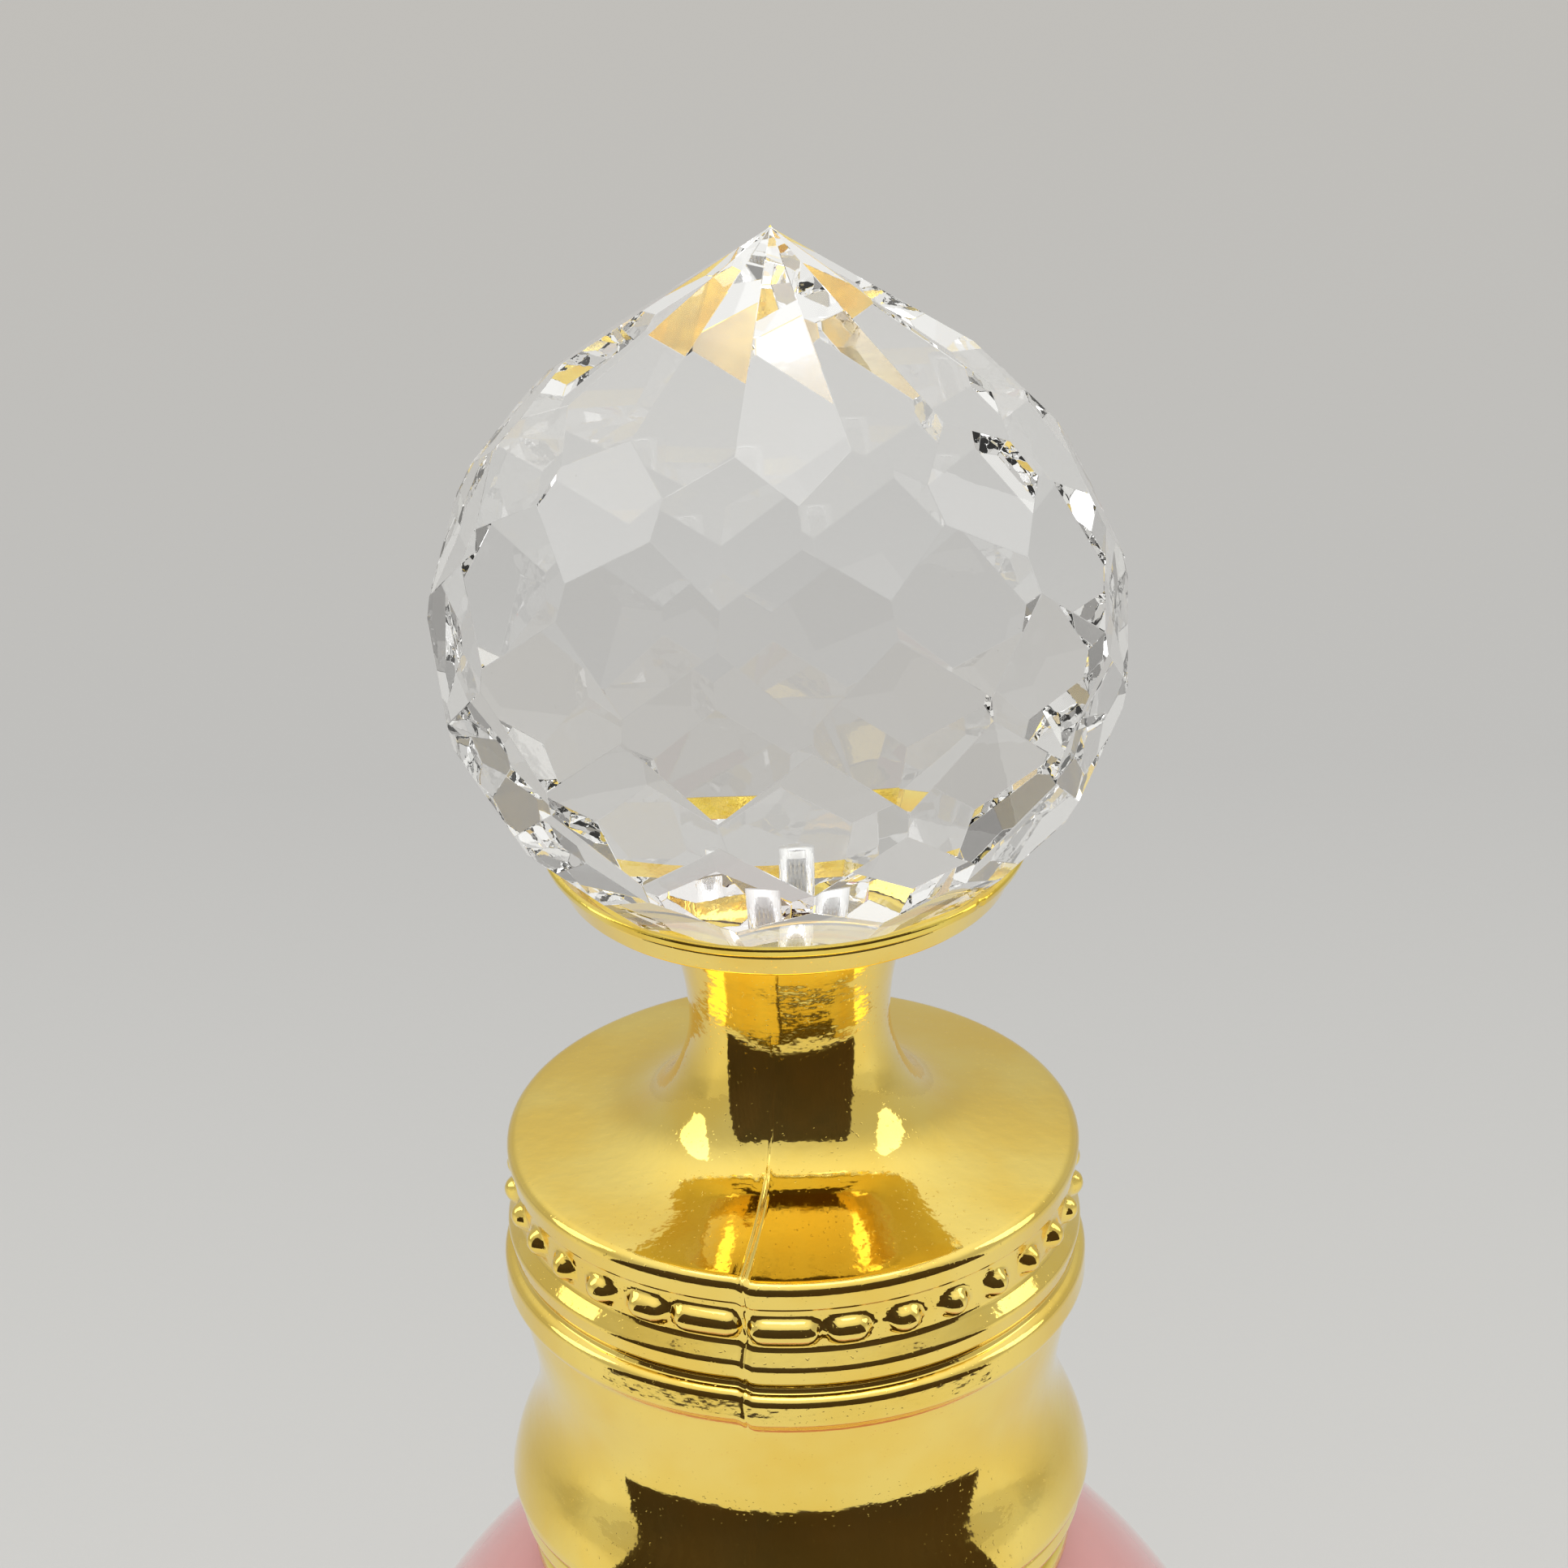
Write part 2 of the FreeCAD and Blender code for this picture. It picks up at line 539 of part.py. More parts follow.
os.makedirs("parts", exist_ok=True)
for thing in sub_parts:
    shape = thing.Shape
    if shape.isNull() or not shape.isValid() or shape.Volume <= 0:
        raise RuntimeError(f"{thing.Label} has no valid solid")
    shape.exportStep(f"parts/{thing.Label}.step")
    box = shape.BoundBox
    height = f"z {box.ZMin:.2f} to {box.ZMax:.2f}"
    print(f"{thing.Label:20s} {len(shape.Solids)} solid {shape.Volume:10.2f} mm3  {height}")
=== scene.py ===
# A round pink perfume flacon with a crimped spray pump and a gilt, beaded cap that
# carries a faceted crystal ball.  Outlines are in millimetres and meshes in metres.
import math

import bmesh
import bpy
import numpy as np
from mathutils import Matrix, Vector


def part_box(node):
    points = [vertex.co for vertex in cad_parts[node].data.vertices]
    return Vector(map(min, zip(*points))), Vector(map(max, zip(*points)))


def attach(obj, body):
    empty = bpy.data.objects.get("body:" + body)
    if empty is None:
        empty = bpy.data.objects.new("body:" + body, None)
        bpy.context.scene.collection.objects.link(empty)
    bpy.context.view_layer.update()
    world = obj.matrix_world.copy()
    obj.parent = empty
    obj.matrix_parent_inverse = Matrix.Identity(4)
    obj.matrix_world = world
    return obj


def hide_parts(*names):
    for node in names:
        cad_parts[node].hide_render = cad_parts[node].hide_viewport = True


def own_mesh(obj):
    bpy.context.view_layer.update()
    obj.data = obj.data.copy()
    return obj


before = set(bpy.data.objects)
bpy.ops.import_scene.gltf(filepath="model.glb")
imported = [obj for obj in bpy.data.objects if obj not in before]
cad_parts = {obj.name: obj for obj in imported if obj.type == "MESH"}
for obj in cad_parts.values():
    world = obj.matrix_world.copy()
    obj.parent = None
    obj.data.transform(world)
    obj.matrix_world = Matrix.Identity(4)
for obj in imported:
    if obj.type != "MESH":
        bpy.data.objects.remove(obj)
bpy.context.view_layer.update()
scene = bpy.context.scene
scene.view_settings.view_transform = "Standard"
scene.cycles.max_bounces = 32  # the crystal's inner reflections go dark with fewer
scene.cycles.glossy_bounces = 20
scene.cycles.transmission_bounces = 24
mm = 0.001
print("frame loaded")


def boxMm(node):  # lowest and highest corner of a CAD node, in millimetres
    return [np.array(corner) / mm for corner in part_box(node)]


def filletLine(corners, closed=False, bend=0.36):
    # An outline is an array of (radius, height).  Each (radius, height, rounding) corner becomes an
    # arc tangent to both its runs, with a point every bend radians or less.  One more point just
    # outside each end of the arc keeps the flats flat under smooth shading.
    parts = []
    count = len(corners)
    for i, (radius, height, rounding) in enumerate(corners):
        here = np.array([radius, height])
        if rounding == 0 or (not closed and i in (0, count - 1)):
            parts.append(here[None])
            continue
        back = np.array(corners[i - 1][:2]) - here
        onward = np.array(corners[(i + 1) % count][:2]) - here
        back = back / np.linalg.norm(back)
        onward = onward / np.linalg.norm(onward)
        half = math.acos(np.clip(back @ onward, -1, 1)) / 2
        middle = (back + onward) / np.linalg.norm(back + onward)
        centre = here + middle * rounding / math.sin(half)
        start = here + back * rounding / math.tan(half) - centre
        end = here + onward * rounding / math.tan(half) - centre
        sweep = math.pi - 2 * half
        steps = max(2, math.ceil(sweep / bend))
        side = np.sign(start[0] * end[1] - start[1] * end[0])
        turn = math.atan2(start[1], start[0]) + side * sweep * np.linspace(0, 1, steps + 1)
        arc = centre + rounding * np.stack([np.cos(turn), np.sin(turn)], 1)
        lead = 0.1 * rounding
        parts.append(np.vstack([arc[0] + back * lead, arc, arc[-1] + onward * lead]))
    return np.vstack(parts)


def smoothLine(places, count):
    # The natural cubic spline through the places, stepped evenly in the square root of its chords.
    p = np.array(places, float)
    chord = np.linalg.norm(np.diff(p, axis=0), axis=1) ** 0.5
    t = np.concatenate([[0], np.cumsum(chord)])
    h = np.diff(t)
    rise = np.diff(p, axis=0) / h[:, None]
    n = len(t)
    i = np.arange(1, n - 1)
    system = np.eye(n)
    system[i, i - 1] = h[:-1]
    system[i, i] = 2 * (h[:-1] + h[1:])
    system[i, i + 1] = h[1:]
    right = np.zeros_like(p)
    right[1:-1] = 6 * np.diff(rise, axis=0)
    bend = np.linalg.solve(system, right)
    u = np.linspace(0, t[-1], count)
    k = np.clip(np.searchsorted(t, u, side="right") - 1, 0, n - 2)
    b = ((u - t[k]) / h[k])[:, None]
    a = 1 - b
    swell = ((a**3 - a) * bend[k] + (b**3 - b) * bend[k + 1]) * (h[k] ** 2)[:, None] / 6
    return a * p[k] + b * p[k + 1] + swell


def ellipseLine(radius, reach, middle, start, end, count):
    # radius sin(t) across and middle + reach cos(t) up, from one t to another.
    t = np.linspace(start, end, count)
    return np.stack([radius * np.sin(t), middle + reach * np.cos(t)], 1)


def smoothStep(low, high, value):
    # t squared times (3 - 2t), where t runs from 0 at low to 1 at high.
    t = np.clip((value - low) / (high - low), 0, 1)
    return t * t * (3 - 2 * t)


def newPiece(name, mesh, body, slot, finish, *nodes):
    # A finished mesh becomes a piece that rides on its body and stands for its CAD nodes.
    piece = bpy.data.objects.new(name, mesh)
    scene.collection.objects.link(piece)
    mesh.materials.append(finish)
    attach(piece, body)
    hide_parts(*nodes)
    return piece


def meshFrom(name, points, faces):
    # Points are in millimetres, and a fourth corner of -1 makes a face a triangle.  The faces are
    # turned round together if the solid is inside out.
    first = points[faces[:, 0]]
    fan = np.cross(points[faces[:, 1]] - first, points[faces[:, 2]] - first)
    if np.einsum("ij,ij->i", first, fan).sum() < 0:
        faces = np.where(faces[:, 3:] < 0, faces[:, [2, 1, 0, 3]], faces[:, ::-1])
    mesh = bpy.data.meshes.new(name)
    mesh.from_pydata((points * mm).tolist(), [], [[v for v in f if v >= 0] for f in faces.tolist()])
    mesh.polygons.foreach_set("use_smooth", [True] * len(mesh.polygons))
    mesh.update()
    return mesh


def sweptFaces(rows, columns, wrapRows):
    # Quads of a grid that closes round its columns, and round its rows too where asked.
    row = np.arange(rows if wrapRows else rows - 1)[:, None]
    column = np.arange(columns)[None]
    onward = (column + 1) % columns
    above = (row + 1) % rows
    corners = [row * columns + column, row * columns + onward, above * columns + onward,
               above * columns + column]
    return np.stack(corners, 2).reshape(-1, 4)


def cappedFaces(rows, columns):
    # The same grid with its first and last rows closed by fans to two more points, after the grid's.
    ring = np.arange(columns)
    onward = (ring + 1) % columns
    last = (rows - 1) * columns
    tip = np.full(columns, rows * columns)
    missing = np.full(columns, -1)
    low = np.stack([tip, onward, ring, missing], 1)
    high = np.stack([tip + 1, last + ring, last + onward, missing], 1)
    return np.vstack([sweptFaces(rows, columns, False), low, high])


def turnedMesh(name, outline, turns, shape=None):
    # radius and height against an angle: x = radius sin(angle), y = -radius cos(angle).  An outline
    # that starts and ends on the axis gets one point at each pole; any other closes on itself.
    angle = np.linspace(0, 2 * math.pi, turns, endpoint=False) if np.isscalar(turns) else turns
    rows, columns = len(outline), len(angle)
    radius = np.repeat(outline[:, :1], columns, 1)
    height = np.repeat(outline[:, 1:], columns, 1)
    if shape is not None:
        radius, height = shape(radius, height, angle[None])
    points = np.stack([radius * np.sin(angle), -radius * np.cos(angle), height], 2)
    poles = outline[0, 0] < 1e-6 and outline[-1, 0] < 1e-6
    if not poles:
        return meshFrom(name, points.reshape(-1, 3), sweptFaces(rows, columns, True))
    tips = np.array([[0, 0, outline[0, 1]], [0, 0, outline[-1, 1]]])
    allPoints = np.vstack([points[1:-1].reshape(-1, 3), tips])
    return meshFrom(name, allPoints, cappedFaces(rows - 2, columns))


class Wire:  # one socket in a material's node tree; sums and products on it add Math nodes
    def __init__(self, tree, socket=None):
        self.tree = tree
        self.socket = socket

    def add(self, kind, settings, inputs, output=0):
        node = self.tree.nodes.new("ShaderNode" + kind)
        for name, value in settings.items():
            if name == "stops":
                ramp = node.color_ramp.elements
                while len(ramp) < len(value):
                    ramp.new(1)
                for stop, (place, colour) in zip(ramp, value):
                    stop.position = place
                    stop.color = (*colour, 1)
            else:
                setattr(node, name, value)
        for name, value in inputs.items():
            self.join(value, node.inputs[name])
        return Wire(self.tree, node.outputs[output])

    def join(self, value, socket):
        if isinstance(value, Wire):
            self.tree.links.new(value.socket, socket)
        elif isinstance(value, (tuple, list)) and len(value) == 3 and socket.type == "RGBA":
            socket.default_value = (*value, 1)
        else:
            socket.default_value = value

    def __add__(self, other):
        return self.add("Math", {"operation": "ADD"}, {0: self, 1: other})

    def __mul__(self, other):
        return self.add("Math", {"operation": "MULTIPLY"}, {0: self, 1: other})

    __radd__ = __add__
    __rmul__ = __mul__

    def above(self, low, high):  # 0 up to low, 1 from high, smooth between
        return self.add("MapRange", {"interpolation_type": "SMOOTHSTEP"},
                        {0: self, 1: low, 2: high, 3: 0.0, 4: 1.0})

    def noise(self, scale, detail=2.0, roughness=0.5):
        return self.add("TexNoise", {}, {"Vector": self, "Scale": scale, "Detail": detail,
                                         "Roughness": roughness})

    def stretched(self, scale):
        return self.add("Mapping", {}, {"Vector": self, "Scale": scale})

    def blend(self, first, second):  # a colour between two, by this value
        return self.add("Mix", {"data_type": "RGBA"}, {0: self, 6: first, 7: second}, 2)


def newFinish(name):
    # A material, with the object's own coordinates and ways to set its shader's sockets and bump.
    finish = bpy.data.materials.new(name)
    finish.use_nodes = True
    tree = finish.node_tree
    shader = tree.nodes["Principled BSDF"]
    coordinates = tree.nodes.new("ShaderNodeTexCoord")
    place = Wire(tree, coordinates.outputs["Object"])

    def put(sockets):
        for socket, value in sockets.items():
            place.join(value, shader.inputs[socket])

    def bump(height, distance, strength=1.0, normal=None):
        inputs = {"Height": height, "Distance": distance, "Strength": strength}
        if normal is not None:
            inputs["Normal"] = normal
        return place.add("Bump", {}, inputs)

    return finish, place, put, bump


paints = {  # the two colours that each finish drifts between
    "gilt": ((0.98, 0.745, 0.18), (0.96, 0.68, 0.125)),
    "giltMetal": ((0.95, 0.74, 0.15), (0.87, 0.60, 0.08)),
    "crystal": ((1, 1, 1), (0.78, 0.77, 0.74)),
    "ground": ((0.84, 0.84, 0.83), (0.74, 0.74, 0.73)),
    "pink": ((0.93, 0.45, 0.44), (0.90, 0.41, 0.41)),
    "white": ((0.84, 0.84, 0.82), (0.78, 0.78, 0.76)),
    "natural": ((0.76, 0.77, 0.75), (0.68, 0.69, 0.68)),
    "milky": ((0.86, 0.87, 0.88), (0.80, 0.81, 0.83)),
    "tube": ((0.93, 0.94, 0.95), (0.88, 0.89, 0.90)),
    "rubber": ((0.09, 0.09, 0.095), (0.06, 0.06, 0.065)),
    "aluminium": ((0.82, 0.83, 0.84), (0.74, 0.75, 0.76)),
    "steel": ((0.66, 0.66, 0.66), (0.52, 0.52, 0.53)),
}


def giltPlastic():
    # Mirror-bright metallising over moulded plastic: slight orange peel, faint flow lines and specks.
    finish, place, put, bump = newFinish("giltPlastic")
    cloud = place.noise(180, 3)
    peel = place.noise(1500, 2, 0.45)
    flow = place.stretched((900, 900, 3500)).noise(1, 2)
    pits = place.noise(5200, 1).above(0.68, 0.76)
    put({"Base Color": cloud.above(0.35, 0.65).blend(*paints["gilt"]), "Metallic": 1.0,
         "Roughness": cloud * 0.05 + pits * 0.10 + 0.035, "Coat Weight": 0.35, "Coat Roughness": 0.04})
    soft = bump(peel, 0.000012)
    fine = bump(flow, 0.000003, 1.0, soft)
    put({"Normal": bump(pits, 0.000006, 0.6, fine)})
    return finish


def giltMetal():
    # Thin pressed metal, plated: brighter and cloudy, with small creases.
    finish, place, put, bump = newFinish("giltMetal")
    cloud = place.noise(260, 3)
    crease = place.noise(700, 4, 0.6)
    put({"Base Color": cloud.above(0.4, 0.65).blend(*paints["giltMetal"]), "Metallic": 1.0,
         "Roughness": crease * 0.14 + 0.04, "Normal": bump(crease, 0.00003)})
    return finish


def crystalGlass():
    # Clear and polished, with a few specks of dust and the faintest haze.
    finish, place, put, bump = newFinish("crystalGlass")
    haze = place.noise(420, 3)
    dust = place.noise(6400, 1).above(0.80, 0.84)
    put({"Base Color": dust.blend(*paints["crystal"]), "Roughness": dust * 0.25 + haze * 0.004,
         "IOR": 1.52, "Transmission Weight": 1.0, "Normal": bump(haze, 0.0000012)})
    return finish


def groundGlass():
    # The drilling's wall, left matt by the drill.
    finish, place, put, bump = newFinish("groundGlass")
    grain = place.noise(9000, 2)
    put({"Base Color": grain.blend(*paints["ground"]), "Roughness": grain * 0.2 + 0.28, "IOR": 1.52,
         "Transmission Weight": 1.0, "Normal": bump(grain, 0.00002)})
    return finish


def pinkGlass():
    # Pink lacquer over clear glass: milky, glossy, a little uneven.
    finish, place, put, bump = newFinish("pinkGlass")
    cloud = place.noise(55, 3)
    peel = place.noise(420, 2)
    put({"Base Color": cloud.above(0.35, 0.7).blend(*paints["pink"]), "Roughness": cloud * 0.06 + 0.05,
         "IOR": 1.5, "Transmission Weight": 0.25, "Coat Weight": 0.6, "Coat Roughness": 0.05,
         "Normal": bump(peel, 0.00002)})
    return finish


def mouldedPlastic(name, light, dark, gloss, clear=0.0):
    # Soft clouds of tone and a fine grain.
    finish, place, put, bump = newFinish(name)
    cloud = place.noise(300, 3)
    grain = place.noise(4200, 2)
    put({"Base Color": cloud.above(0.35, 0.65).blend(light, dark), "Roughness": grain * 0.12 + gloss,
         "Transmission Weight": clear, "Normal": bump(grain, 0.000008)})
    return finish


def drawnMetal(name, light, dark, gloss, lines):
    # Bare metal with fine draw marks that run round the axis.
    finish, place, put, bump = newFinish(name)
    marks = place.stretched(lines).noise(1, 3, 0.6)
    cloud = place.noise(260, 2)
    put({"Base Color": cloud.blend(light, dark), "Metallic": 1.0, "Roughness": marks * 0.15 + gloss,
         "Normal": bump(marks, 0.000006)})
    return finish


finishes = {
    "gilt": giltPlastic(),
    "giltMetal": giltMetal(),
    "crystal": crystalGlass(),
    "ground": groundGlass(),
    "pink": pinkGlass(),
    "white": mouldedPlastic("whitePlastic", *paints["white"], 0.25),
    "natural": mouldedPlastic("naturalPlastic", *paints["natural"], 0.35),
    "milky": mouldedPlastic("milkyPlastic", *paints["milky"], 0.3),
    "tube": mouldedPlastic("tubePlastic", *paints["tube"], 0.15, 0.8),
    "rubber": mouldedPlastic("greyRubber", *paints["rubber"], 0.55),
    "aluminium": drawnMetal("drawnAluminium", *paints["aluminium"], 0.16, (300, 300, 9000)),
    "steel": drawnMetal("springSteel", *paints["steel"], 0.14, (5000, 5000, 5000)),
}
print("finishes made")


capFoot, capTop = boxMm("cap_shell")
capPlan = {
    "cupHeight": 1.2,    # from the cup's lower edge to its lip
    "seam": -10.4,       # degrees; the other seam is opposite
    "step": 0.15,        # half of how far the two mould halves miss each other
    "lowerStep": 0.02,   # the same miss below the rings
    "groove": 0.05, "flash": 0.09, "blob": 0.10,  # marks along the seam
    "sinkMarks": 0.016,
    "beadDrop": 16.2, "beadCircle": 13.0, "beadRadius": 0.74, "beadRise": 0.58, "beadsPerQuarter": 8,
    "band": (-15.2, -17.2, 12.7),  # top, foot and least radius of the strip that carries the beads
    "uniformTurns": 372,
}
cupZ = capTop[2] - capPlan["cupHeight"]
rimZ = capFoot[2]


def capOutline():
    # Heights are from the cup's lower edge.  It runs from the lip down the outside and back up the bore.
    foot = rimZ - cupZ
    lip = filletLine([(9.7, 0.5, 0), (10.32, 1.2, 0.1), (10.46, 1.08, 0.1), (10.02, 0.0, 0.22),
                      (9.0, -0.08, 0)])
    neck = smoothLine([(9.0, -0.12), (7.3, -0.7), (6.1, -1.35), (5.45, -2.35), (5.02, -4.0),
                       (4.70, -5.8), (4.58, -7.3), (4.66, -8.5), (4.98, -9.7), (5.5, -10.9),
                       (6.3, -12.0), (7.6, -12.8), (9.9, -13.25), (12.5, -13.55)], 42)[1:]
    edge = filletLine([(12.62, -13.57, 0), (13.26, -13.68, 0.5), (13.07, -14.9, 0.12),
                       (12.95, -15.02, 0.08), (12.9, -15.3, 0)])[1:]
    band = np.stack([np.linspace(12.90, 12.76, 17), np.linspace(-15.32, -17.1, 17)], 1)
    rings = filletLine([(12.77, -17.14, 0), (12.84, -17.3, 0.08), (13.30, -17.95, 0.35),
                        (13.20, -18.72, 0.3), (12.98, -19.08, 0.12), (13.08, -19.3, 0.1),
                        (13.52, -19.5, 0.4), (13.52, -20.85, 0.5), (13.1, -21.2, 0.14),
                        (12.98, -21.45, 0)])
    cove = smoothLine([(12.97, -21.5), (12.62, -23.3), (12.24, -26.0), (12.58, -28.2), (13.36, -30.1),
                       (13.74, -31.6)], 22)
    rim = filletLine([(13.75, -31.7, 0), (13.70, -32.25, 0.35), (13.28, -32.45, 0.1),
                      (13.42, -32.7, 0.15), (13.44, foot + 0.55, 0.5), (12.95, foot, 0.5),
                      (11.4, foot, 0)])
    bore = filletLine([(11.3, foot, 0), (11.0, foot, 0.25), (11.0, -17.6, 0.6), (9.0, -15.1, 0.5),
                       (5.0, -15.1, 0.8), (3.0, -12.2, 0.5), (3.0, -9.0, 0.3), (0.8, -9.0, 0.1),
                       (0.8, 0.5, 0.1), (9.7, 0.5, 0)], bend=0.8)[:-1]
    return np.vstack([lip, neck, edge, band, rings, cove, rim, bore])


capLine = capOutline()
bandTop, bandFoot, bandRadius = capPlan["band"]
onBand = (capLine[:, 0] > bandRadius) & (capLine[:, 1] < bandTop) & (capLine[:, 1] > bandFoot)
outsideRows = np.arange(len(capLine)) < np.argmax(capLine[:, 1] < rimZ - cupZ + 0.001)


def capAngles():
    # Evenly spaced turns, with closer ones beside each mould seam.
    even = np.linspace(-180, 180, capPlan["uniformTurns"], endpoint=False)
    beside = np.array([0.05, 0.15, 0.25, 0.36, 0.5, 0.68, 0.9, 1.15, 1.45])
    close = np.concatenate([[0], beside, -beside])
    seams = np.concatenate([capPlan["seam"] + close, capPlan["seam"] + 180 + close])
    far = np.abs((even[:, None] - seams[None] + 180) % 360 - 180).min(1) > 0.3
    return np.radians(np.sort(np.concatenate([even[far], seams])))


def fromSeam(angle):
    # Degrees to the nearest seam, with its sign; and 1 on the right half of the cap, -1 on the left.
    turn = (np.degrees(angle) - capPlan["seam"]) % 360
    near = (turn + 90) % 180 - 90
    side = np.where(turn < 180, 1, -1)
    return near, side


def beadHeight(angle, drop):
    # Long beads beside the seams shrink to round ones: each is a capsule cut by the band.
    count = capPlan["beadsPerQuarter"]
    number = np.arange(count)
    middles = 90 * ((number + 0.5) / count) ** 0.884
    halves = 2.9 + 4.4 * np.exp(-0.9 * number)
    away = np.abs(fromSeam(angle)[0])[..., None]
    perDegree = math.radians(1) * capPlan["beadCircle"]
    along = np.abs(away - middles) * perDegree
    radius = capPlan["beadRadius"]
    past = np.maximum(along - (halves * perDegree - radius), 0)
    reach = np.sqrt(past**2 + (drop + capPlan["beadDrop"])[..., None] ** 2)
    sunk = radius - capPlan["beadRise"]
    dome = np.sqrt(np.maximum(radius**2 - reach**2, 0)) - sunk
    return np.maximum(dome.max(-1), 0)


def capShape(radius, height, angle):
    # The turned outline, then: the halves' mismatch, the beads, the parting line and the sink marks.
    near, side = np.broadcast_arrays(*fromSeam(angle), radius)[:2]
    angle = np.broadcast_to(angle, radius.shape)
    outside = outsideRows[:, None]
    ring = smoothStep(-13.0, -13.7, height) * smoothStep(-22.4, -21.3, height) * outside
    onShoulder = smoothStep(-11.4, -12.3, height) * smoothStep(-13.75, -13.4, height) * outside
    onNeck = smoothStep(-0.6, -2.0, height) * smoothStep(-12.2, -11.2, height) * outside
    below = smoothStep(-21.2, -22.0, height) * outside
    across = near * math.radians(1) * radius  # millimetres from the seam
    miss = side * smoothStep(0, 0.42, np.abs(across)) * capPlan["step"]
    swell = np.zeros_like(radius)
    swell[onBand] = beadHeight(angle[onBand], height[onBand])
    wander = across + 0.05 * np.sin(height * 3.1) + 0.03 * np.sin(height * 7.3 + 1)
    flash = np.exp(-((wander - 0.11) / 0.055) ** 2) + 0.7 * np.exp(-((wander + 0.08) / 0.05) ** 2)
    line = np.exp(-(wander / 0.06) ** 2)
    lift = onShoulder * flash * capPlan["flash"] - onNeck * line * capPlan["groove"]
    lift = lift + below * side * smoothStep(0, 0.2, np.abs(across)) * capPlan["lowerStep"]
    blob = np.exp(-((across + 0.25) ** 2 + (radius - 6.6) ** 2) / 0.05) * onShoulder
    drop = height - ring * miss + lift + capPlan["blob"] * blob
    radius = radius + swell - ring * line * capPlan["groove"] + lift * 0.3
    sink = np.sin(angle * 3 + 1.1) * np.sin(height * 0.9) + 0.6 * np.sin(angle * 7 + height * 0.7)
    skin = outside * smoothStep(-0.2, -2.0, height)
    return radius + capPlan["sinkMarks"] * sink * skin, drop + cupZ


capMesh = turnedMesh("capShell", capLine, capAngles(), capShape)
newPiece("capShell", capMesh, "cap", "gilt_plastic", finishes["gilt"], "cap_shell")
print("cap", len(capLine), "rows,", len(capMesh.polygons), "faces")


dishPlan = {  # heights above the cup's lower edge
    "under": 0.53, "inside": 0.97, "lip": 1.78, "wave": 0.016, "nick": 0.12, "nickAngle": 0.88,
    "turns": 320,
}


def dishOutline():
    # A flat floor with a small centre hole, stepped up to a rolled lip.
    under, inside, lip = (cupZ + dishPlan[part] for part in ("under", "inside", "lip"))
    return filletLine([(0.75, under, 0), (9.85, under, 0.2), (10.36, cupZ + 1.24, 0.08),
                       (10.80, cupZ + 1.34, 0.12), (10.90, lip - 0.12, 0.1), (10.84, lip, 0.06),
                       (10.62, lip - 0.02, 0.06), (9.72, inside, 0.15), (0.75, inside, 0)])


def dishShape(radius, height, angle):
    # A thin pressed dish: its lip waves a little and has one small nick.
    rimmed = smoothStep(9.9, 10.8, radius)
    wave = np.sin(angle * 5 + 0.6) + 0.7 * np.sin(angle * 11 + 2.0)
    nick = np.exp(-((angle - dishPlan["nickAngle"]) / 0.012) ** 2)
    dent = dishPlan["wave"] * rimmed * (wave + 1.7) / 3.4 + nick * rimmed * dishPlan["nick"]
    return radius - dent, height + 0.01 * wave * rimmed - 0.013 * rimmed


newPiece("crystalDish", turnedMesh("crystalDish", dishOutline(), dishPlan["turns"], dishShape), "cap",
         "gilt_metal", finishes["giltMetal"], "crystal_dish")

crystalPlan = {"edge": 0.000035, "hole": 0.0011, "holeTop": 0.0055}  # metres


def crystalMesh():
    # The ground facets as packed, merged into whole flats, with a hair-wide polished edge on each.
    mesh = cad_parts["crystal_ball"].data.copy()
    work = bmesh.new()
    work.from_mesh(mesh)
    bmesh.ops.remove_doubles(work, verts=work.verts, dist=0.000002)
    bmesh.ops.dissolve_limit(work, angle_limit=math.radians(0.6), verts=work.verts, edges=work.edges)
    hole = crystalPlan["hole"]
    holeTop = cupZ * mm + crystalPlan["holeTop"]
    flats = [edge for edge in work.edges
             if edge.is_manifold and max(vert.co.xy.length for vert in edge.verts) > hole]
    bmesh.ops.bevel(work, geom=flats, offset=crystalPlan["edge"], offset_type="OFFSET", segments=1,
                    affect="EDGES", clamp_overlap=True)
    bmesh.ops.recalc_face_normals(work, faces=work.faces)
    for face in work.faces:
        inHole = max(vert.co.xy.length for vert in face.verts) < hole and face.normal.z < 0.98
        face.material_index = 1 if inHole and face.calc_center_median().z < holeTop else 0
        face.smooth = bool(face.material_index)
    work.to_mesh(mesh)
    work.free()
    mesh.materials.clear()
    mesh.name = "crystalBall"
    return mesh


crystal = newPiece("crystalBall", crystalMesh(), "cap", "crystal", finishes["crystal"], "crystal_ball")
crystal.data.materials.append(finishes["ground"])
print("crystal", len(crystal.data.polygons), "faces")


bottlePlan = {
    "belly": 25.0, "bellyHeight": 27.0, "foot": 17.5,  # outside
    "shoulder": 12.6, "land": 56.0,                    # the flat that the collar stands on
    "innerBelly": 22.0, "innerFoot": 14.5, "floor": 5.0, "bore": 4.7, "turns": 240,
}


